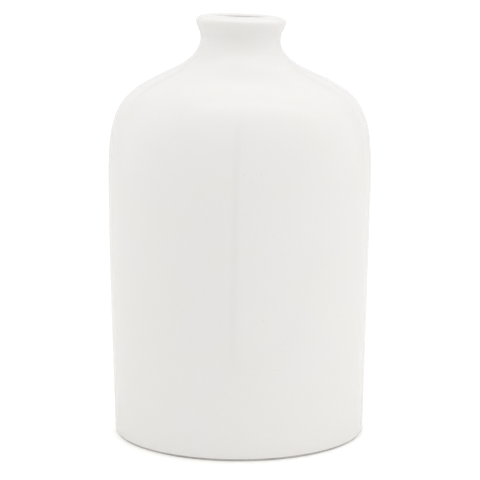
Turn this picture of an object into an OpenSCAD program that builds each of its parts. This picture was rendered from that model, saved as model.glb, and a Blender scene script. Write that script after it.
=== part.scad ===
// Bottle-form ceramic bud vase.
// One slip-cast clay body carries three separate coats of glaze: one outside, one inside and one under the base.
// The frame has +Z up and its origin on the axis at the height of the foot's resting face.
// Sizes are in millimetres.

/* [Overall] */
// Height from the resting face of the foot to the crest of the lip
height = 150; // [149.5:0.5:152]
// Outer radius of the wall where it meets the foot
foot_r = 45; // [43:0.1:46]
// Outer radius of the belly, the widest part
belly_r = 47; // [46:0.1:50]
// Height of the belly, where the wall stands upright
belly_z = 94; // [88:0.1:100]

/* [Shoulder] */
// Radius at which the shoulder stops bulging and starts to sweep into the neck
sweep_r = 25; // [23:0.1:27]
// Height of that point
sweep_z = 130.6; // [129:0.1:132]
// Slope of the shoulder there, in degrees from level
sweep_slope = 25; // [22:0.1:28]

/* [Neck and lip] */
// Outer radius of the neck's waist
waist_r = 14.2; // [13.5:0.1:15]
// Height of the waist
waist_z = 142; // [141:0.1:143]
// Outer radius of the lip
lip_r = 16; // [15.5:0.1:17]
// Height of the lip's widest edge
lip_z = 148.1; // [147:0.1:148.6]
// Radius of the lip's crest
crest_r = 10.8; // [10:0.1:11.5]
// Depth of the mouth's round edge, from the lip's crest down to the straight throat
mouth_d = 1; // [0.8:0.1:2]

/* [Wall] */
// Thickness of the whole wall: clay and both glazes
wall_t = 5.2; // [4.5:0.1:5.5]
// Thickness of a coat of glaze
glaze_t = 0.3; // [0.2:0.05:0.4]
// Thickness of the floor's clay
floor_t = 4.6; // [3.5:0.1:6]
// Radius of the inside corner between wall and floor
corner_r = 9; // [6:0.5:11]

/* [Foot] */
// Height of the bare bevel round the foot
bevel = 0.7; // [0.5:0.1:1.2]
// Radius of the hollow under the base
hollow_r = 37.5; // [34:0.5:39]
// Depth of that hollow, up to the clay
hollow_d = 2.5; // [1.5:0.1:3.5]
// Round edge of the hollow
hollow_edge = 1; // [0.5:0.1:1.4]
// Width of the bare margin between the base glaze and the hollow's side
base_margin = 2.4; // [1.5:0.1:4]

/* [Hidden] */
$fn = 144;

// Share of a radius that makes a cubic curve's handle follow a quarter circle.
quarter = 0.5523;
floor_z = hollow_d + floor_t + glaze_t;
throat_top = height - mouth_d;

// Point, direction and inset point on a cubic curve c at t. Insets go into the clay, to the curve's left.
function point_on(c, t) =
    pow(1 - t, 3) * c[0] + 3 * pow(1 - t, 2) * t * c[1] + 3 * (1 - t) * t * t * c[2] + pow(t, 3) * c[3];
function heading(c, t) =
    let (d = pow(1 - t, 2) * (c[1] - c[0]) + 2 * (1 - t) * t * (c[2] - c[1]) + t * t * (c[3] - c[2]))
    d / norm(d);
function inset_point(c, t, depth) =
    let (h = heading(c, t))
    point_on(c, t) + depth * [-h[1], h[0]];
function run(c, steps, depth, from = 0) =
    [for (i = [0 : steps]) inset_point(c, from + (1 - from) * i / steps, depth)];
function flipped(points) = [for (i = [len(points) - 1 : -1 : 0]) points[i]];
// A chain of runs, without the point that each run shares with the one before it.
function chain(runs) = [for (k = [0 : len(runs) - 1]) for (i = [k == 0 ? 0 : 1 : len(runs[k]) - 1]) runs[k][i]];

// The finished outer surface, as cubic curves in [radius, height].
sweep_way = [-cos(sweep_slope), sin(sweep_slope)];
sweep_at = [sweep_r, sweep_z];
wall_lean = [0.043, 1];
wall_curve = [
    [foot_r, bevel],
    [foot_r, bevel] + 20 * wall_lean,
    [belly_r, belly_z - 15],
    [belly_r, belly_z]
];
shoulder_curve = [[belly_r, belly_z], [belly_r, belly_z + 26], sweep_at - 17.8 * sweep_way, sweep_at];
neck_curve = [sweep_at, sweep_at + 2.1 * sweep_way, [waist_r, waist_z - 7], [waist_r, waist_z]];
flare_curve = [[waist_r, waist_z], [waist_r, waist_z + 2.4], [lip_r, lip_z - 1.5], [lip_r, lip_z]];
lip_curve = [
    [lip_r, lip_z],
    [lip_r, lip_z + quarter * (height - lip_z)],
    [crest_r + quarter * (lip_r - crest_r), height],
    [crest_r, height]
];

// The finished inner surface of the mouth, and the inside corner at the floor.
throat_r = waist_r - wall_t;
mouth_curve = [
    [crest_r, height],
    [crest_r - quarter * (crest_r - throat_r), height],
    [throat_r, throat_top + quarter * (height - throat_top)],
    [throat_r, throat_top]
];
// Where on the wall's curve the inside corner begins.
corner_t = 0.21;
corner_top = inset_point(wall_curve, corner_t, wall_t);
corner_end = [corner_top[0] - corner_r, floor_z];
corner_curve = [
    corner_top,
    corner_top - quarter * (corner_top[1] - floor_z) * heading(wall_curve, corner_t),
    corner_end + [quarter * corner_r, 0],
    corner_end
];

// The outer surface from the foot to the crest, and the inner one from the crest to the floor's centre.
function outside(depth) = chain([
    run(wall_curve, 12, depth),
    run(shoulder_curve, 28, depth),
    run(neck_curve, 14, depth),
    run(flare_curve, 10, depth),
    run(lip_curve, 10, depth)
]);
function inside(depth) = chain([
    run(mouth_curve, 12, depth),
    [[throat_r + depth, throat_top], [throat_r + depth, waist_z]],
    flipped(run(neck_curve, 14, wall_t - depth)),
    flipped(run(shoulder_curve, 28, wall_t - depth)),
    flipped(run(wall_curve, 12, wall_t - depth, corner_t)),
    run(corner_curve, 10, depth),
    [corner_end - [0, depth], [0, floor_z - depth]]
]);

// Underside of the clay, from the axis out to the bevel: the hollow, its round edge, the foot ring and the bevel.
edge_steps = 6;
edge_arc = [
    for (i = [0 : edge_steps])
        let (a = 90 * i / edge_steps)
        [hollow_r + hollow_edge * (1 - cos(a)), hollow_edge * (1 - sin(a))]
];
underside = concat([[0, hollow_d], [hollow_r, hollow_d]], edge_arc, [[foot_r - bevel, 0]]);

// The fired clay: the whole vessel under its glazes, with a bare foot ring and bevel.
module clay_body() {
    color("#e9e2d4")
        rotate_extrude()
            polygon(concat(underside, outside(glaze_t), inside(glaze_t)));
}

// The outside coat, from the top of the bevel up to the lip's crest.
module outer_glaze() {
    color("#efedea")
        rotate_extrude()
            polygon(concat(outside(0), flipped(outside(glaze_t))));
}

// The inside coat, poured in: from the crest down the throat and over the floor.
module liner_glaze() {
    color("#eceae6")
        rotate_extrude()
            polygon(concat(inside(0), flipped(inside(glaze_t))));
}

// The patch of glaze in the hollow under the base, inside the bare margin.
module base_glaze() {
    patch_r = hollow_r - base_margin;
    color("#efedea")
        rotate_extrude()
            polygon([
                [0, hollow_d - glaze_t],
                [patch_r - glaze_t, hollow_d - glaze_t],
                [patch_r, hollow_d - glaze_t / 2],
                [patch_r, hollow_d],
                [0, hollow_d]
            ]);
}

clay_body();
outer_glaze();
liner_glaze();
base_glaze();
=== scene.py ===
"""Glazed bud vase: a slip-cast stoneware bottle under glossy white glaze.

It stands on a pale sheet in soft studio light.
"""

import logging
import math
import random
from collections.abc import Sequence
from dataclasses import dataclass, field
from enum import Enum
from typing import ClassVar

import bpy
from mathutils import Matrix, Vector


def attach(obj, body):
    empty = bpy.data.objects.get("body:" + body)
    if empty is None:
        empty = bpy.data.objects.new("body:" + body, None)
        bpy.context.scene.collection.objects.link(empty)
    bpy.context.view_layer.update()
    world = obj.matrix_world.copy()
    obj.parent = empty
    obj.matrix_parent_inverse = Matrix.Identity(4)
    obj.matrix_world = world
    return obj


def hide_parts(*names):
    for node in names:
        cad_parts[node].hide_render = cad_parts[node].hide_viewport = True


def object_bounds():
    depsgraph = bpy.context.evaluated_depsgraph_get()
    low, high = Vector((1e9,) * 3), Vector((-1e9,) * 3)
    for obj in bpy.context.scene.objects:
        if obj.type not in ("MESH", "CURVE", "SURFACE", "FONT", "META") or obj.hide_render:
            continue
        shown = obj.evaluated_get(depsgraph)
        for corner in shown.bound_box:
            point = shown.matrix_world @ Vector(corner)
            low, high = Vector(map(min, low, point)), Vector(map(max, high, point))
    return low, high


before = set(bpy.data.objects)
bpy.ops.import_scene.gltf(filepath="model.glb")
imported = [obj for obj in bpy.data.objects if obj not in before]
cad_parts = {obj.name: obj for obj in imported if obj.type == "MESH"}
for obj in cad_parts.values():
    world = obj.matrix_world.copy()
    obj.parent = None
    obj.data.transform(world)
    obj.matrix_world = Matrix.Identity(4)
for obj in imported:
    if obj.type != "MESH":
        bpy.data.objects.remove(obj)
CAD_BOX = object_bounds()

MM = 0.001
BODY = "root"
LEVEL = (0.0, 0.0, 0.0)
UPRIGHT = (math.pi / 2, 0.0, 0.0)
SIDEWAYS = (math.pi / 2, 0.0, math.pi / 2)
BLACK = (0.0, 0.0, 0.0, 1.0)
WHITE = (1.0, 1.0, 1.0, 1.0)
# Points of an outline closer than this, in metres, count as one.
SAME_POINT = 1e-7
# Points of a turned mesh closer than this, in metres, are merged.
WELD = 2e-6
# Faces that meet at less than this angle are shaded as one surface.
SMOOTH_UNDER = math.radians(40.0)
log = logging.getLogger("bud_vase")

Point = tuple[float, float]


def hex_to_linear(colour: str) -> tuple[float, float, float, float]:
    """Turns an sRGB hex colour into the linear values that a shader takes.

    Args:
        colour: Six hex digits after a hash, such as "#ece9e3".

    Returns:
        Linear red, green, blue and an alpha of 1.
    """
    shares = (int(colour[start : start + 2], 16) / 255 for start in (1, 3, 5))
    linear = [c / 12.92 if c <= 0.04045 else ((c + 0.055) / 1.055) ** 2.4 for c in shares]
    return (linear[0], linear[1], linear[2], 1.0)


def per_mm(size_mm: float) -> float:
    """The scale, in cells per metre, of a pattern whose cells are this many millimetres across."""
    return 1.0 / (size_mm * MM)


# -----------------------------------------------------------------------------
# Finishes
# -----------------------------------------------------------------------------


class NodeSheet:
    """A material's node tree, with one way to add a node to it."""

    def __init__(self, name: str) -> None:
        """Starts a material that holds only its output and a Principled shader.

        Args:
            name: The material's name.
        """
        self.material = bpy.data.materials.new(name)
        self.material.use_nodes = True
        self.nodes = self.material.node_tree.nodes
        self.links = self.material.node_tree.links
        self.shader = self.nodes["Principled BSDF"]

    def add(
        self,
        kind: str,
        settings: dict | None = None,
        stops: Sequence[tuple[float, float]] = (),
        **inputs: object,
    ) -> bpy.types.Node:
        """Adds a node.

        Args:
            kind: The node's type, without the ShaderNode that it starts with.
            settings: The node's own settings, by name.
            stops: A colour ramp's (place, grey) pairs, in rising order of place.
            **inputs: Its inputs by name, with underscores for spaces, as a value or as
                another node's socket.

        Returns:
            The new node.
        """
        node = self.nodes.new("ShaderNode" + kind)
        for name, value in (settings or {}).items():
            setattr(node, name, value)
        for name, value in inputs.items():
            self.feed(node.inputs[name.replace("_", " ")], value)
        if stops:
            node.color_ramp.interpolation = "EASE"
            elements = node.color_ramp.elements
            while len(elements) < len(stops):
                elements.new(0.5)
            for element, (place, grey) in zip(elements, stops, strict=True):
                element.position = place
                element.color = (grey, grey, grey, 1.0)
        return node

    def feed(self, socket: bpy.types.NodeSocket, value: object) -> None:
        """Links a socket to another node's output, or sets its value.

        Args:
            socket: The socket to feed.
            value: Another node's output socket, or a plain value.
        """
        if isinstance(value, bpy.types.NodeSocket):
            self.links.new(value, socket)
        else:
            socket.default_value = value


@dataclass(frozen=True)
class WhiteGlaze:
    """Glossy zircon-white glaze on stoneware, poured or sprayed and fired until it flowed.

    To the eye it is a warm white, as smooth as glass, with a faint orange peel. Under the
    surface lies a fine, very pale peppering of iron from the clay, with a larger speck here
    and there, and in it is a rare shallow pinhole where a bubble burst.
    """

    name: str = "glazed_stoneware_white"
    white: str = "#edebea"
    thin: str = "#edebe8"
    fleck: str = "#e0ddd9"
    speck: str = "#d8d4ce"
    ior: float = 1.5
    smooth: float = 0.02
    soft: float = 0.045
    cloud_mm: float = 22.0
    cloud_detail: float = 3.0
    cloud_roughness: float = 0.55
    cloud_band: tuple[float, float] = (0.3, 0.75)
    peel_mm: float = 2.6
    peel_detail: float = 1.5
    peel_roughness: float = 0.4
    peel_depth_mm: float = 0.004
    fleck_cell_mm: float = 1.5
    fleck_mm: float = 0.18
    speck_cell_mm: float = 5.2
    speck_mm: float = 0.21
    pit_cell_mm: float = 9.0
    pit_mm: float = 0.22
    pit_depth_mm: float = 0.02
    dot_core: float = 0.45

    def make(self) -> bpy.types.Material:
        """Builds the material.

        Returns:
            The finished material.
        """
        sheet = NodeSheet(self.name)
        place = sheet.add("TexCoord").outputs["Object"]
        clouds = sheet.add(
            "TexNoise",
            Vector=place,
            Scale=per_mm(self.cloud_mm),
            Detail=self.cloud_detail,
            Roughness=self.cloud_roughness,
        ).outputs["Fac"]
        low, high = self.cloud_band
        cover = sheet.add("ValToRGB", stops=[(low, 0.0), (high, 1.0)], Fac=clouds)
        coat = sheet.add("Mix", {"data_type": "RGBA"}, Factor=cover.outputs["Color"])
        sheet.feed(coat.inputs["A"], hex_to_linear(self.white))
        sheet.feed(coat.inputs["B"], hex_to_linear(self.thin))

        colour = coat.outputs["Result"]
        peppers = (
            (self.fleck, self.fleck_cell_mm, self.fleck_mm),
            (self.speck, self.speck_cell_mm, self.speck_mm),
        )
        for iron, cell_mm, radius_mm in peppers:
            dots = self.dots(sheet, place, cell_mm, radius_mm)
            peppered = sheet.add("Mix", {"data_type": "RGBA"}, Factor=dots)
            sheet.feed(peppered.inputs["A"], colour)
            sheet.feed(peppered.inputs["B"], hex_to_linear(iron))
            colour = peppered.outputs["Result"]
        sheet.feed(sheet.shader.inputs["Base Color"], colour)

        gloss = sheet.add("MapRange", Value=clouds, To_Min=self.smooth, To_Max=self.soft)
        sheet.feed(sheet.shader.inputs["Roughness"], gloss.outputs["Result"])
        sheet.feed(sheet.shader.inputs["IOR"], self.ior)

        peel = sheet.add(
            "TexNoise",
            Vector=place,
            Scale=per_mm(self.peel_mm),
            Detail=self.peel_detail,
            Roughness=self.peel_roughness,
        )
        peel_depth, pit_depth = self.peel_depth_mm * MM, self.pit_depth_mm * MM
        waves = sheet.add("Bump", Distance=peel_depth, Height=peel.outputs["Fac"])
        pits = self.dots(sheet, place, self.pit_cell_mm, self.pit_mm)
        pitted = sheet.add("Bump", {"invert": True}, Distance=pit_depth, Height=pits)
        sheet.feed(pitted.inputs["Normal"], waves.outputs["Normal"])
        sheet.feed(sheet.shader.inputs["Normal"], pitted.outputs["Normal"])
        return sheet.material

    def dots(
        self, sheet: NodeSheet, place: bpy.types.NodeSocket, cell_mm: float, radius_mm: float
    ) -> bpy.types.NodeSocket:
        """Scatters small soft-edged dots, at most one to a cell.

        Args:
            sheet: The material's nodes.
            place: The coordinates.
            cell_mm: Distance between neighbouring cells.
            radius_mm: The largest dot's radius.

        Returns:
            A socket that is 1 inside a dot and 0 outside.
        """
        cells = sheet.add("TexVoronoi", Vector=place, Scale=per_mm(cell_mm), Randomness=1.0)
        edge = radius_mm / cell_mm
        stops = [(edge * self.dot_core, 1.0), (edge, 0.0)]
        return sheet.add("ValToRGB", stops=stops, Fac=cells.outputs["Distance"]).outputs["Color"]


@dataclass(frozen=True)
class BareClay:
    """Bare fired white stoneware on the wiped foot ring.

    To the eye it is matt, pale and nearly neutral, with fine grit, faint rings where a damp
    sponge went round, and greyer scuffs where the ring has rubbed on shelves. Its pale and
    dark tones are darker and greyer than the fired clay itself: that is painted shade, for
    the dark line where the foot meets the sheet.
    """

    name: str = "fired_stoneware_bare_with_painted_shade"
    # Both tones hold painted shade: the clay's own colour, darkened for the line under the foot.
    pale: str = "#c6c5c3"
    dark: str = "#b4b3b0"
    grit: str = "#8a8884"
    rubbed: str = "#a2a09d"
    smooth: float = 0.72
    rough: float = 0.95
    patch_mm: float = 9.0
    patch_detail: float = 4.0
    patch_band: tuple[float, float] = (0.35, 0.7)
    grit_mm: float = 0.9
    grit_band: tuple[float, float] = (0.08, 0.2)
    scuff_detail: float = 5.0
    scuff_roughness: float = 0.7
    scuff_band: tuple[float, float] = (0.55, 0.75)
    scuff_strength: float = 0.7
    grain_mm: float = 0.5
    grain_detail: float = 3.0
    grain_depth_mm: float = 0.05
    ring_mm: float = 1.3
    ring_waver: float = 1.2
    ring_detail: float = 2.0
    ring_depth_mm: float = 0.04

    def make(self) -> bpy.types.Material:
        """Builds the material.

        Returns:
            The finished material.
        """
        sheet = NodeSheet(self.name)
        place = sheet.add("TexCoord").outputs["Object"]
        patches = sheet.add(
            "TexNoise", Vector=place, Scale=per_mm(self.patch_mm), Detail=self.patch_detail
        )
        low, high = self.patch_band
        patches = sheet.add(
            "ValToRGB", stops=[(low, 0.0), (high, 1.0)], Fac=patches.outputs["Fac"]
        ).outputs["Color"]
        clay = sheet.add("Mix", {"data_type": "RGBA"}, Factor=patches)
        sheet.feed(clay.inputs["A"], hex_to_linear(self.pale))
        sheet.feed(clay.inputs["B"], hex_to_linear(self.dark))

        grains = sheet.add(
            "TexVoronoi", Vector=place, Scale=per_mm(self.grit_mm), Randomness=1.0
        )
        low, high = self.grit_band
        grit = sheet.add(
            "ValToRGB", stops=[(low, 1.0), (high, 0.0)], Fac=grains.outputs["Distance"]
        )
        gritty = sheet.add("Mix", {"data_type": "RGBA"}, Factor=grit.outputs["Color"])
        sheet.feed(gritty.inputs["A"], clay.outputs["Result"])
        sheet.feed(gritty.inputs["B"], hex_to_linear(self.grit))

        scuffs = sheet.add(
            "TexNoise",
            Vector=place,
            Scale=per_mm(self.grit_mm * 2),
            Detail=self.scuff_detail,
            Roughness=self.scuff_roughness,
        )
        low, high = self.scuff_band
        scuffs = sheet.add(
            "ValToRGB",
            stops=[(low, 0.0), (high, self.scuff_strength)],
            Fac=scuffs.outputs["Fac"],
        ).outputs["Color"]
        worn = sheet.add("Mix", {"data_type": "RGBA"}, Factor=scuffs)
        sheet.feed(worn.inputs["A"], gritty.outputs["Result"])
        sheet.feed(worn.inputs["B"], hex_to_linear(self.rubbed))
        sheet.feed(sheet.shader.inputs["Base Color"], worn.outputs["Result"])

        matt = sheet.add("MapRange", Value=patches, To_Min=self.rough, To_Max=self.smooth)
        sheet.feed(sheet.shader.inputs["Roughness"], matt.outputs["Result"])

        rings = sheet.add(
            "TexWave",
            {"wave_type": "RINGS", "rings_direction": "Z"},
            Vector=place,
            Scale=per_mm(self.ring_mm) / math.tau,
            Distortion=self.ring_waver,
            Detail=self.ring_detail,
        )
        ring_depth, grain_depth = self.ring_depth_mm * MM, self.grain_depth_mm * MM
        wiped = sheet.add("Bump", Distance=ring_depth, Height=rings.outputs["Fac"])
        grain = sheet.add(
            "TexNoise", Vector=place, Scale=per_mm(self.grain_mm), Detail=self.grain_detail
        )
        grainy = sheet.add("Bump", Distance=grain_depth, Height=grain.outputs["Fac"])
        sheet.feed(grainy.inputs["Normal"], wiped.outputs["Normal"])
        sheet.feed(sheet.shader.inputs["Normal"], grainy.outputs["Normal"])
        return sheet.material


@dataclass(frozen=True)
class GlowingCloth:
    """Plain cloth lit evenly from behind. It glows without gloss, so all it adds is light."""

    name: str
    glow: float

    def make(self) -> bpy.types.Material:
        """Builds the material.

        Returns:
            The finished material.
        """
        sheet = NodeSheet(self.name)
        sheet.feed(sheet.shader.inputs["Base Color"], BLACK)
        sheet.feed(sheet.shader.inputs["Specular IOR Level"], 0.0)
        sheet.feed(sheet.shader.inputs["Emission Color"], WHITE)
        sheet.feed(sheet.shader.inputs["Emission Strength"], self.glow)
        return sheet.material


@dataclass(frozen=True)
class WhiteCard:
    """Matt white card, lit a little from below. It looks even and takes only a soft shadow."""

    name: str = "card_white_matt"
    white: str = "#f2f1ef"
    matt: float = 0.9
    glow: float = 0.06

    def make(self) -> bpy.types.Material:
        """Builds the material.

        Returns:
            The finished material.
        """
        sheet = NodeSheet(self.name)
        sheet.feed(sheet.shader.inputs["Base Color"], hex_to_linear(self.white))
        sheet.feed(sheet.shader.inputs["Roughness"], self.matt)
        sheet.feed(sheet.shader.inputs["Emission Color"], WHITE)
        sheet.feed(sheet.shader.inputs["Emission Strength"], self.glow)
        return sheet.material


@dataclass(frozen=True)
class LightFilm:
    """A clear film that adds white light to what lies under it, and fades out towards the foot.
    The fade is a painted shadow: the soft contact shadow round the foot.
    """

    name: str = "film_of_light_and_painted_shadow"
    near: float = 38.8 * MM
    far: float = 58.8 * MM
    # Glow by share of the way from near to far: none at the foot, so the painted shadow is darkest
    # there.
    steps: tuple[tuple[float, float], ...] = ((0.0, 0.0), (0.1, 0.13), (0.4, 0.2))

    def make(self) -> bpy.types.Material:
        """Builds the material.

        Returns:
            The finished material.
        """
        sheet = NodeSheet(self.name)
        away = sheet.add("VectorMath", {"operation": "LENGTH"})
        sheet.feed(away.inputs[0], sheet.add("TexCoord").outputs["Object"])
        share = sheet.add(
            "MapRange", Value=away.outputs["Value"], From_Min=self.near, From_Max=self.far
        )
        level = sheet.add("ValToRGB", stops=self.steps, Fac=share.outputs["Result"])
        glow = sheet.add("Emission", Color=level.outputs["Color"], Strength=1.0)
        both = sheet.add("AddShader")
        sheet.feed(both.inputs[0], sheet.add("BsdfTransparent").outputs["BSDF"])
        sheet.feed(both.inputs[1], glow.outputs["Emission"])
        sheet.feed(sheet.nodes["Material Output"].inputs["Surface"], both.outputs["Shader"])
        sheet.nodes.remove(sheet.shader)
        return sheet.material


# -----------------------------------------------------------------------------
# Outlines
# -----------------------------------------------------------------------------


@dataclass(frozen=True)
class Sweep:
    """One cubic curve of an outline, in (radius, height), walked with the clay on its left."""

    start: Point
    leave: Point
    arrive: Point
    end: Point

    def place(self, share: float, depth: float = 0.0) -> Point:
        """A point on the curve, or set into the clay from it.

        Args:
            share: How far along the curve, from 0 to 1.
            depth: How far into the clay, square to the curve.

        Returns:
            The point's radius and height.
        """
        rest = 1.0 - share
        pulls = (rest**3, 3 * rest * rest * share, 3 * rest * share * share, share**3)
        corners = (self.start, self.leave, self.arrive, self.end)
        radius, height = (
            sum(pull * corner[i] for pull, corner in zip(pulls, corners)) for i in (0, 1)
        )
        way = self.heading(share)
        return (radius - depth * way[1], height + depth * way[0])

    def heading(self, share: float) -> Point:
        """The curve's direction.

        Args:
            share: How far along the curve, from 0 to 1.

        Returns:
            The direction in (radius, height), with a length of 1.
        """
        rest = 1.0 - share
        pulls = (rest * rest, 2 * rest * share, share * share)
        corners = (self.start, self.leave, self.arrive, self.end)
        steps = [(b[0] - a[0], b[1] - a[1]) for a, b in zip(corners, corners[1:])]
        run, rise = (sum(pull * step[i] for pull, step in zip(pulls, steps)) for i in (0, 1))
        length = math.hypot(run, rise)
        return (run / length, rise / length)

    def walk(self, steps: int, depth: float = 0.0, begin: float = 0.0) -> list[Point]:
        """Points along the curve.

        Args:
            steps: How many steps to take.
            depth: How far into the clay the points are set.
            begin: The share of the curve where the walk begins.

        Returns:
            steps + 1 points, in order.
        """
        return [self.place(begin + (1.0 - begin) * i / steps, depth) for i in range(steps + 1)]


def join(*walks: Sequence[Point]) -> list[Point]:
    """Joins walks end to end, and drops a point that repeats the one before it.

    Args:
        *walks: The walks, in order.

    Returns:
        All their points in one list.
    """
    joined: list[Point] = []
    for point in (point for walk in walks for point in walk):
        if not joined or math.dist(point, joined[-1]) > SAME_POINT:
            joined.append(point)
    return joined


@dataclass(frozen=True)
class VaseForm:
    """Sizes of the vase, in metres.

    The height and the belly's radius are read from the imported model's bounds, and the rest are
    the CAD model's sizes.
    A handle is how far a curve runs on along its own direction at one of its ends.
    """

    height: float
    belly_r: float
    belly_z: float = 94.0 * MM
    foot_r: float = 45.0 * MM
    sweep_r: float = 25.0 * MM
    sweep_z: float = 130.6 * MM
    sweep_slope: float = math.radians(25.0)
    waist_r: float = 14.2 * MM
    waist_z: float = 142.0 * MM
    lip_r: float = 16.0 * MM
    lip_z: float = 148.1 * MM
    crest_r: float = 10.8 * MM
    mouth_d: float = 1.0 * MM
    wall_t: float = 5.2 * MM
    glaze_t: float = 0.3 * MM
    floor_t: float = 4.6 * MM
    corner_r: float = 9.0 * MM
    corner_share: float = 0.21
    bevel: float = 0.7 * MM
    hollow_r: float = 37.5 * MM
    hollow_d: float = 2.5 * MM
    hollow_edge: float = 1.0 * MM
    base_margin: float = 2.4 * MM
    wall_lean: float = 0.043
    wall_handle: float = 20.0 * MM
    belly_handle_below: float = 15.0 * MM
    belly_handle_above: float = 26.0 * MM
    sweep_handle_before: float = 17.8 * MM
    sweep_handle_after: float = 2.1 * MM
    waist_handle_below: float = 7.0 * MM
    waist_handle_above: float = 2.4 * MM
    lip_handle: float = 1.5 * MM
    outside_steps: tuple[int, ...] = (14, 24, 13, 8, 10)
    inside_steps: tuple[int, ...] = (11, 8, 14, 8, 8)

    # Share of a radius that makes a cubic curve's handle follow a quarter circle.
    QUARTER: ClassVar[float] = 0.5523

    @property
    def floor_z(self) -> float:
        """Height of the finished floor inside."""
        return self.hollow_d + self.floor_t + self.glaze_t

    @property
    def throat_r(self) -> float:
        """Radius of the finished throat."""
        return self.waist_r - self.wall_t

    @property
    def throat_top(self) -> float:
        """Height at which the mouth's curve becomes the straight throat."""
        return self.height - self.mouth_d

    @property
    def sweep_point(self) -> Point:
        """Where the shoulder's bulge turns into the sweep up to the neck."""
        return (self.sweep_r, self.sweep_z)

    def along_sweep(self, distance: float) -> Point:
        """A point on the straight line through the sweep point, this far on towards the neck."""
        return (
            self.sweep_r - distance * math.cos(self.sweep_slope),
            self.sweep_z + distance * math.sin(self.sweep_slope),
        )

    @property
    def wall(self) -> Sweep:
        """From the bevel round the foot up to the belly."""
        return Sweep(
            (self.foot_r, self.bevel),
            (self.foot_r + self.wall_lean * self.wall_handle, self.bevel + self.wall_handle),
            (self.belly_r, self.belly_z - self.belly_handle_below),
            (self.belly_r, self.belly_z),
        )

    @property
    def shoulder(self) -> Sweep:
        """From the belly over the shoulder's bulge."""
        return Sweep(
            (self.belly_r, self.belly_z),
            (self.belly_r, self.belly_z + self.belly_handle_above),
            self.along_sweep(-self.sweep_handle_before),
            self.sweep_point,
        )

    @property
    def neck(self) -> Sweep:
        """From the shoulder up into the neck's waist."""
        return Sweep(
            self.sweep_point,
            self.along_sweep(self.sweep_handle_after),
            (self.waist_r, self.waist_z - self.waist_handle_below),
            (self.waist_r, self.waist_z),
        )

    @property
    def flare(self) -> Sweep:
        """From the waist out to the lip's widest edge."""
        return Sweep(
            (self.waist_r, self.waist_z),
            (self.waist_r, self.waist_z + self.waist_handle_above),
            (self.lip_r, self.lip_z - self.lip_handle),
            (self.lip_r, self.lip_z),
        )

    @property
    def lip(self) -> Sweep:
        """Over the lip's rounded edge to its crest."""
        return Sweep(
            (self.lip_r, self.lip_z),
            (self.lip_r, self.lip_z + self.QUARTER * (self.height - self.lip_z)),
            (self.crest_r + self.QUARTER * (self.lip_r - self.crest_r), self.height),
            (self.crest_r, self.height),
        )

    @property
    def mouth(self) -> Sweep:
        """From the crest down into the throat."""
        return Sweep(
            (self.crest_r, self.height),
            (self.crest_r - self.QUARTER * (self.crest_r - self.throat_r), self.height),
            (self.throat_r, self.throat_top + self.QUARTER * (self.height - self.throat_top)),
            (self.throat_r, self.throat_top),
        )

    @property
    def inside_corner(self) -> Sweep:
        """From the inside of the wall round to the floor."""
        top = self.wall.place(self.corner_share, self.wall_t)
        way = self.wall.heading(self.corner_share)
        drop = self.QUARTER * (top[1] - self.floor_z)
        end = (top[0] - self.corner_r, self.floor_z)
        return Sweep(
            top,
            (top[0] - drop * way[0], top[1] - drop * way[1]),
            (end[0] + self.QUARTER * self.corner_r, end[1]),
            end,
        )

    def outside(self, depth: float) -> list[Point]:
        """The outer surface from the bevel to the crest. What the glaze hides takes fewer steps.

        Args:
            depth: How deep below the finished surface.

        Returns:
            The outline's points.
        """
        fine = 2 if depth == 0.0 else 1
        curves = (self.wall, self.shoulder, self.neck, self.flare, self.lip)
        pairs = zip(curves, self.outside_steps, strict=True)
        return join(*(curve.walk(steps * fine, depth) for curve, steps in pairs))

    def inside(self, depth: float) -> list[Point]:
        """The inner surface from the crest to the floor's centre.

        Args:
            depth: How deep below the finished surface.

        Returns:
            The outline's points.
        """
        back = self.wall_t - depth
        fine = 2 if depth == 0.0 else 1
        mouth, neck, shoulder, wall, corner = self.inside_steps
        return join(
            self.mouth.walk(mouth * fine, depth),
            [(self.throat_r + depth, self.throat_top)],
            self.neck.walk(neck * fine, back)[::-1],
            self.shoulder.walk(shoulder * fine, back)[::-1],
            self.wall.walk(wall, back, self.corner_share)[::-1],
            self.inside_corner.walk(corner, depth),
            [(0.0, self.floor_z - depth)],
        )


# -----------------------------------------------------------------------------
# Making
# -----------------------------------------------------------------------------


class Coat(Enum):
    """The three coats of glaze, each with the node that it stands for."""

    OUTSIDE = "outer_glaze"
    INSIDE = "liner_glaze"
    BASE = "base_glaze"


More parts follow.
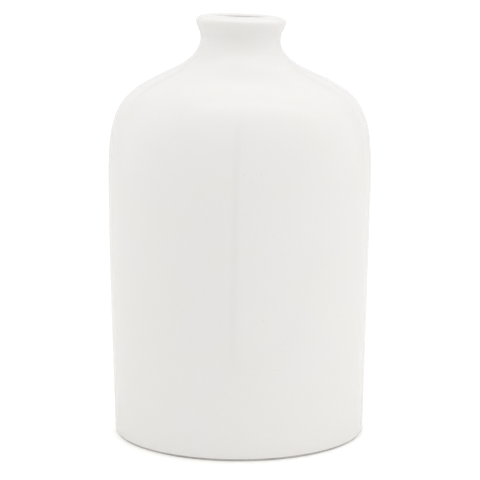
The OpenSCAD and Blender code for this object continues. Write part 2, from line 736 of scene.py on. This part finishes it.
def turn(name: str, outline: Sequence[Point], steps: int = 192) -> bpy.types.Object:
    """Turns an outline about the upright axis into a closed solid.

    A plane is merged to a single point where the outline starts, drawn out along it point by
    point, and spun.

    Args:
        name: The new piece's name.
        outline: The outline's points in (radius, height). It starts and ends on the axis, or it
            is a ring's outline, which closes on its first point.
        steps: How many steps the full turn takes.

    Returns:
        The new piece, smooth and with its faces outwards.
    """
    on_axis = outline[0][0] == 0.0
    points = list(outline) if on_axis else [*outline, outline[0]]
    bpy.ops.object.select_all(action="DESELECT")
    bpy.ops.mesh.primitive_plane_add(size=MM, location=(points[0][0], 0.0, points[0][1]))
    piece = bpy.context.active_object
    piece.name = piece.data.name = name
    bpy.ops.object.transform_apply(location=True, rotation=False, scale=False)
    bpy.ops.object.mode_set(mode="EDIT")
    bpy.ops.mesh.select_all(action="SELECT")
    bpy.ops.mesh.merge(type="CENTER")
    for here, there in zip(points, points[1:]):
        step = (there[0] - here[0], 0.0, there[1] - here[1])
        bpy.ops.mesh.extrude_region_move(TRANSFORM_OT_translate={"value": step})
    bpy.ops.mesh.select_all(action="SELECT")
    bpy.ops.mesh.spin(steps=steps, angle=math.tau, center=(0.0, 0.0, 0.0), axis=(0.0, 0.0, 1.0))
    bpy.ops.mesh.select_all(action="SELECT")
    bpy.ops.mesh.remove_doubles(threshold=WELD)
    bpy.ops.mesh.normals_make_consistent(inside=False)
    bpy.ops.object.mode_set(mode="OBJECT")
    bpy.ops.object.shade_smooth_by_angle(angle=SMOOTH_UNDER)
    return piece


def hand_over(
    piece: bpy.types.Object, material: bpy.types.Material, slot: str, *nodes: str
) -> None:
    """Dresses a piece and says what it stands for.

    Args:
        piece: The finished piece.
        material: Its finish.
        slot: The record's material slot; not used.
        *nodes: The CAD nodes that it replaces.
    """
    piece.data.materials.clear()
    piece.data.materials.append(material)
    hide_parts(*nodes)
    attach(piece, BODY)
    faces = len(piece.data.polygons)
    log.info("%s: %d faces, finish %s, for %s", piece.name, faces, material.name, nodes)


@dataclass
class ClayBody:
    """The slip-cast clay under the glazes, with its bare foot ring."""

    form: VaseForm
    finish: BareClay = field(default_factory=BareClay)
    edge_steps: int = 8

    def underside(self) -> list[Point]:
        """The underside from the axis to the bevel: the hollow, its round edge and the foot ring.

        Returns:
            The outline's points.
        """
        form = self.form
        turns = (math.pi / 2 * step / self.edge_steps for step in range(self.edge_steps + 1))
        edge = [
            (
                form.hollow_r + form.hollow_edge * (1.0 - math.cos(turned)),
                form.hollow_edge * (1.0 - math.sin(turned)),
            )
            for turned in turns
        ]
        hollow = [(0.0, form.hollow_d), (form.hollow_r, form.hollow_d)]
        return join(hollow, edge, [(form.foot_r - form.bevel, 0.0)])

    def build(self) -> bpy.types.Object:
        """Makes the clay body.

        Returns:
            The dressed piece.
        """
        depth = self.form.glaze_t
        outline = join(self.underside(), self.form.outside(depth), self.form.inside(depth))
        piece = turn("vase_clay_body", outline)
        hand_over(piece, self.finish.make(), "clay", "clay_body")
        return piece


@dataclass
class GlazeCoats:
    """The three coats of glaze: outside, inside and under the base."""

    form: VaseForm
    finish: WhiteGlaze = field(default_factory=WhiteGlaze)
    bead_steps: int = 5

    def foot_bead(self) -> list[Point]:
        """The round lower edge of the outside coat, which the melt drew back to from the bevel.

        Returns:
            The outline's points, from the clay out to the finished surface.
        """
        form = self.form
        turns = (math.pi / 2 * step / self.bead_steps for step in range(self.bead_steps + 1))
        thick = form.glaze_t
        inner, rise = form.foot_r - thick, form.bevel + thick
        return [(inner + thick * math.sin(turn), rise - thick * math.cos(turn)) for turn in turns]

    def outline(self, coat: Coat) -> list[Point]:
        """The outline of one coat, which lies on the clay.

        Args:
            coat: Which coat.

        Returns:
            The points of its outline.
        """
        form = self.form
        if coat is Coat.OUTSIDE:
            face, back = form.outside(0.0), form.outside(form.glaze_t)
            return join(self.foot_bead(), face[1:], back[::-1][:-1])
        if coat is Coat.INSIDE:
            return join(form.inside(0.0)[::-1], form.inside(form.glaze_t))
        edge = form.hollow_r - form.base_margin
        top, low = form.hollow_d, form.hollow_d - form.glaze_t
        middle = (edge, top - form.glaze_t / 2)
        return [(0.0, top), (edge, top), middle, (edge - form.glaze_t, low), (0.0, low)]

    def build(self) -> list[bpy.types.Object]:
        """Makes the three coats.

        Returns:
            The dressed pieces.
        """
        material = self.finish.make()
        names = ("vase_outside_glaze", "vase_inside_glaze", "vase_base_glaze")
        pieces = []
        for coat, name in zip(Coat, names, strict=True):
            piece = turn(name, self.outline(coat))
            hand_over(piece, material, "glaze", coat.value)
            pieces.append(piece)
        return pieces


@dataclass
class Firing:
    """What the kiln did: the neck leans a little to one side, and the wall sways and waves a hair.

    One cage of points is set round the whole vase and moves every piece alike, so the coats stay
    on the clay. Its lowest points stay where they are, which keeps the foot ring flat.
    """

    height: float
    reach: float
    lean: float = math.radians(2.0)
    lean_from: float = 124.0 * MM
    sway: float = 0.36 * MM
    sway_over: tuple[float, float] = (50.0 * MM, 110.0 * MM)
    wave: float = 0.06 * MM
    wave_length: float = 52.0 * MM
    still_below: float = 30.0 * MM
    margin: float = 12.0 * MM
    seed: int = 11
    points: tuple[int, int, int] = (6, 6, 25)

    @staticmethod
    def ease(value: float, low: float, high: float) -> float:
        """Rises smoothly from 0 at a low value to 1 at a high one."""
        share = min(1.0, max(0.0, (value - low) / (high - low)))
        return share * share * (3.0 - 2.0 * share)

    def cage(self) -> bpy.types.Object:
        """Makes the cage and moves its points.

        Returns:
            The lattice object.
        """
        wide = 2 * (self.reach + self.margin)
        tall = self.height + 2 * self.margin
        bpy.ops.object.select_all(action="DESELECT")
        bpy.ops.object.add(type="LATTICE", location=(0.0, 0.0, self.height / 2))
        cage = bpy.context.active_object
        cage.name = "kiln_cage"
        cage.scale = (wide, wide, tall)
        cage.data.points_u, cage.data.points_v, cage.data.points_w = self.points
        swing = math.tau / self.wave_length
        chance = random.Random(self.seed)
        phases = [chance.uniform(0.0, math.tau) for _ in "xy"]
        for point in cage.data.points:
            height = self.height / 2 + point.co.z * tall
            across, along = point.co.x * wide, point.co.y * wide
            above = max(0.0, height - self.lean_from)
            turn = self.lean * above / (self.height - self.lean_from)
            shift = turn * above / 2 + self.sway * self.ease(height, *self.sway_over)
            ripple = self.wave * self.ease(height, self.still_below, 2 * self.still_below)
            side = shift + ripple * math.sin(swing * (height + along) + phases[0])
            front = ripple * math.sin(swing * (height - across) + phases[1])
            point.co_deform.x = point.co.x + side / wide
            point.co_deform.y = point.co.y + front / wide
            point.co_deform.z = point.co.z - across * math.sin(turn) / tall
        return cage

    def fire(self, pieces: Sequence[bpy.types.Object]) -> None:
        """Bends every piece by the same cage, and takes the cage away.

        Args:
            pieces: All pieces of the vase.
        """
        cage = self.cage()
        bpy.context.view_layer.update()
        for piece in pieces:
            bpy.ops.object.select_all(action="DESELECT")
            bpy.context.view_layer.objects.active = piece
            piece.select_set(True)
            bend = piece.modifiers.new("kiln", "LATTICE")
            bend.object = cage
            bpy.ops.object.modifier_apply(modifier=bend.name)
        bpy.ops.object.select_all(action="DESELECT")
        cage.select_set(True)
        bpy.ops.object.delete()
        log.info("firing: the lip leans %.2f degrees", math.degrees(self.lean))


# -----------------------------------------------------------------------------
# Studio
# -----------------------------------------------------------------------------


@dataclass(frozen=True)
class Panel:
    """A flat panel, bright or dark, that lights the vase and shows in its gloss.

    The camera looks through it. Sizes and places are in metres.
    """

    name: str
    width: float
    length: float
    centre: tuple[float, float, float]
    facing: tuple[float, float, float]
    glow: float

    def hang(self) -> None:
        """Hangs the panel."""
        bpy.ops.mesh.primitive_plane_add(size=1.0, location=self.centre, rotation=self.facing)
        panel = bpy.context.active_object
        panel.name = self.name
        panel.scale = (self.width, self.length, 1.0)
        panel.data.materials.append(GlowingCloth(self.name + "_cloth", self.glow).make())
        panel.visible_camera = False


@dataclass
class Studio:
    """A pale lit sheet in a white tent, with panels towards the camera and a softbox overhead."""

    FRONT: ClassVar[float] = -0.166
    CEILING: ClassVar[float] = 0.75
    STRIP_TILT: ClassVar[tuple[float, float, float]] = (math.pi / 2, math.radians(3.5), 0.0)

    camera_distance: float = 0.700
    camera_rise: float = math.radians(9.92)
    camera_aim: tuple[float, float, float] = (0.00038, 0.0, 0.0694)
    lens_mm: float = 145.75
    sheet_front: float = -0.157
    sheet_reach: float = 3.0
    film_height: float = 0.02 * MM
    # The film's centre sits this far towards the camera, so its painted shadow lies mostly in
    # front of the foot.
    film_ahead: float = 6.0 * MM
    tent: float = 0.9
    dome_radius: float = 8.0
    dome_segments: int = 48
    dome_rings: int = 24
    dome_glow: float = 1.1
    panels: tuple[Panel, ...] = (
        Panel("front_apron", 2.8, 0.25, (-1.0, FRONT, -0.126), UPRIGHT, 0.55),
        Panel("front_low_left", 2.4, 0.06, (-1.2, FRONT, 0.03), UPRIGHT, 0.85),
        Panel("front_low_right", 0.345, 0.06, (0.1725, FRONT, 0.03), UPRIGHT, 1.05),
        Panel("front_mid_left", 2.4, 0.10, (-1.2, FRONT, 0.11), UPRIGHT, 0.9),
        Panel("front_mid_right", 0.345, 0.10, (0.1725, FRONT, 0.11), UPRIGHT, 0.95),
        Panel("front_high", 2.745, 0.24, (-1.0275, FRONT, 0.28), UPRIGHT, 1.0),
        Panel("front_top", 2.745, 0.35, (-1.0275, FRONT, 0.575), UPRIGHT, 1.2),
        Panel("ceiling_front", 1.2, 0.216, (0.3, -0.058, CEILING), LEVEL, 1.5),
        Panel("ceiling_softbox", 1.2, 0.36, (0.3, 0.23, CEILING), LEVEL, 1.1),
        Panel("ceiling_right", 0.7, 0.4, (0.6, 0.61, CEILING), LEVEL, 0.95),
        Panel("side_window", 0.9, 1.2, (1.0, 0.15, 0.5), SIDEWAYS, 1.1),
        Panel("side_wall", 0.9, 1.2, (-1.0, 0.15, 0.5), SIDEWAYS, 1.1),
        Panel("back_wall", 5.0, 1.0, (0.0, 2.0, 0.5), UPRIGHT, 0.9),
        Panel("back_gap", 5.0, 0.12, (0.0, 2.0, 1.06), UPRIGHT, 0.7),
        Panel("front_strip", 0.013, 0.25, (-0.0055, -0.160, 0.126), STRIP_TILT, 0.4),
    )

    def camera(self) -> None:
        """Places the camera in front of the vase, looking slightly down on it."""
        aim = self.camera_aim
        level = self.camera_distance * math.cos(self.camera_rise)
        lift = self.camera_distance * math.sin(self.camera_rise)
        bpy.ops.object.camera_add(
            location=(aim[0], aim[1] - level, aim[2] + lift),
            rotation=(math.pi / 2 - self.camera_rise, 0.0, 0.0),
        )
        camera = bpy.context.active_object
        camera.name = "camera"
        camera.data.lens = self.lens_mm
        bpy.context.scene.camera = camera

    def sheet(self) -> None:
        """Lays the pale sheet that the vase stands on."""
        depth = self.sheet_reach - self.sheet_front
        middle = self.sheet_front + depth / 2
        bpy.ops.mesh.primitive_plane_add(size=1.0, location=(0.0, middle, 0.0))
        floor = bpy.context.active_object
        floor.name = "floor_sheet"
        floor.scale = (2 * self.sheet_reach, depth, 1.0)
        bpy.ops.object.transform_apply(location=True, rotation=False, scale=True)
        floor.data.materials.append(WhiteCard().make())

    def light(self) -> None:
        """Lights the scene."""
        world = bpy.data.worlds.new("white_tent")
        bpy.context.scene.world = world
        world.use_nodes = True
        tent = world.node_tree.nodes["Background"]
        tent.inputs["Color"].default_value = WHITE
        tent.inputs["Strength"].default_value = self.tent
        for panel in self.panels:
            panel.hang()
        self.backdrop()
        self.film()

    @staticmethod
    def show_to_camera_only(prop: bpy.types.Object) -> None:
        """Keeps a prop out of all light, gloss and shadow, so that only the camera sees it."""
        prop.visible_diffuse = prop.visible_glossy = False
        prop.visible_shadow = prop.visible_transmission = False

    def film(self) -> None:
        """Lays a film of light on the sheet. Only the camera sees it, and it fades at the foot,
        which paints the shadow round the foot.
        """
        bpy.ops.mesh.primitive_plane_add(
            size=4 * self.sheet_reach, location=(0.0, -self.film_ahead, self.film_height)
        )
        film = bpy.context.active_object
        film.name = "sheet_film"
        film.data.materials.append(LightFilm().make())
        self.show_to_camera_only(film)

    def backdrop(self) -> None:
        """Closes the view with a plain white dome that only the camera sees."""
        bpy.ops.mesh.primitive_uv_sphere_add(
            segments=self.dome_segments, ring_count=self.dome_rings, radius=self.dome_radius
        )
        dome = bpy.context.active_object
        dome.name = "white_backdrop"
        dome.data.materials.append(GlowingCloth("backdrop_paper_white", self.dome_glow).make())
        self.show_to_camera_only(dome)

    def build(self) -> None:
        """Sets up the whole studio."""
        self.camera()
        self.sheet()
        self.light()
        bpy.context.scene.view_settings.view_transform = "Standard"
        away = self.camera_distance / MM
        log.info("studio: camera %.0f mm away with a %.0f mm lens", away, self.lens_mm)


def main() -> None:
    """Builds the vase and its studio, piece by piece."""
    logging.basicConfig(level=logging.INFO, format="%(name)s: %(message)s")
    low, high = CAD_BOX
    form = VaseForm(height=high.z - low.z, belly_r=high.x)
    pieces = [ClayBody(form).build(), *GlazeCoats(form).build()]
    Firing(form.height, form.belly_r).fire(pieces)
    Studio().build()


if __name__ == "__main__":
    main()
